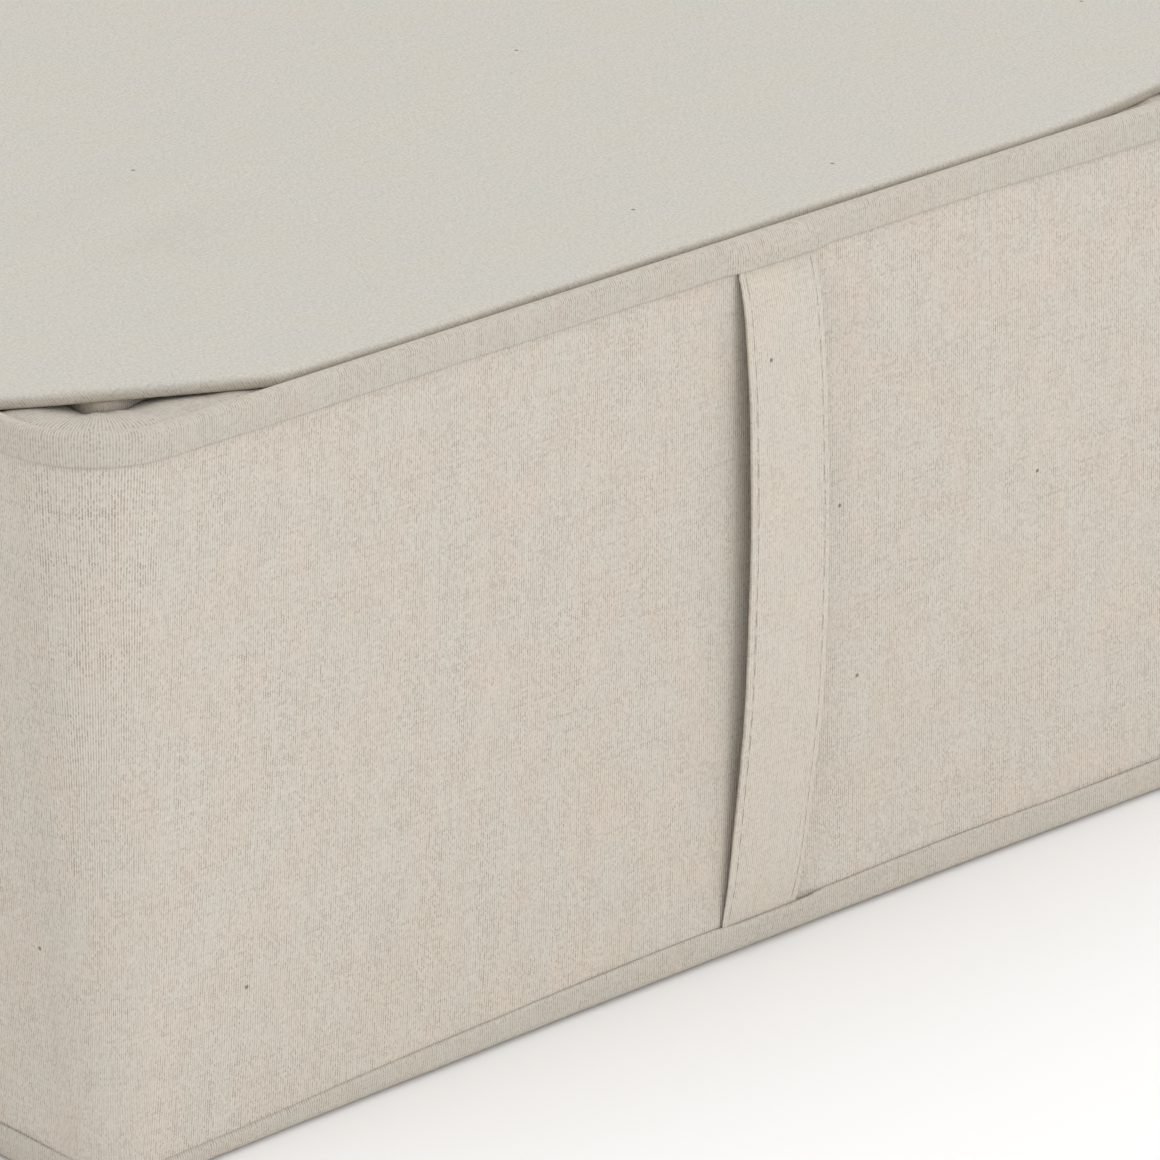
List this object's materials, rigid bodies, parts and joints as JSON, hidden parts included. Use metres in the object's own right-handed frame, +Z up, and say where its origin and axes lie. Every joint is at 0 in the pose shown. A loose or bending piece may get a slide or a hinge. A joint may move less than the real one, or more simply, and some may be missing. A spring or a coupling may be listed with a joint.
{
  "type": "fabric storage bin",
  "caption": "Low rectangular fabric storage bin with a zipped soft lid, stiffened walls, bound edges and a strap handle on both short walls.",
  "frame": {"origin": "on the floor, under the middle of the bin", "axes": "+X along the handle walls, +Y from the front handle wall to the hinge wall, +Z up"},
  "size_m": [0.442, 0.5684, 0.19],
  "materials": {
    "wall_linen": "plain weave linen look, matt, slubbed",
    "strap_linen": "plain weave linen look, folded and edge stitched",
    "binding_linen": "plain weave linen look tape, folded over the edge",
    "lid_linen": "plain weave linen look, slightly greyer, gently creased",
    "lining": "spun nonwoven lining with a small bonded pattern",
    "stiffener_board": "plain matt polypropylene sheet",
    "zip_tape": "woven zip tape with a fine rib",
    "zip_coil": "nylon coil, satin",
    "zip_metal": "satin cast metal"
  },
  "bodies": {
    "bin": {"wall_fabric": "wall_linen", "front_stiffener": "stiffener_board", "back_stiffener": "stiffener_board", "left_stiffener": "stiffener_board", "right_stiffener": "stiffener_board", "wall_lining": "lining", "base_fabric": "wall_linen", "base_board": "stiffener_board", "base_lining": "lining", "bottom_binding": "binding_linen", "top_binding": "binding_linen", "front_strap": "strap_linen", "back_strap": "strap_linen", "zip_guard": "wall_linen", "wall_zip_tape": "zip_tape", "wall_zip_teeth": "zip_coil", "zip_stops": "zip_metal", "corner_gussets": "wall_linen", "hinge_tape": "wall_linen"},
    "lid": {"lid_fabric": "lid_linen", "lid_lining": "lining", "lid_facing": "wall_linen", "lid_zip_tape": "zip_tape", "lid_zip_teeth": "zip_coil"},
    "slider": {"zip_slider": "zip_metal"},
    "pull": {"zip_pull": "zip_metal"}
  },
  "joints": [
    {"name": "lid_hinge", "type": "hinge", "parent": "bin", "child": "lid", "pos_m": [0, 0.27, 0.1902], "axis": [-1, 0, 0], "range_deg": [0, 180]},
    {"name": "slider_slide", "type": "slide", "parent": "bin", "child": "slider", "axis": [0, -1, 0], "range_m": [0, 0.48]},
    {"name": "pull_hinge", "type": "hinge", "parent": "slider", "child": "pull", "pos_m": [-0.2055, 0.247, 0.1849], "axis": [1, 0, 0], "range_deg": [0, 120]}
  ]
}
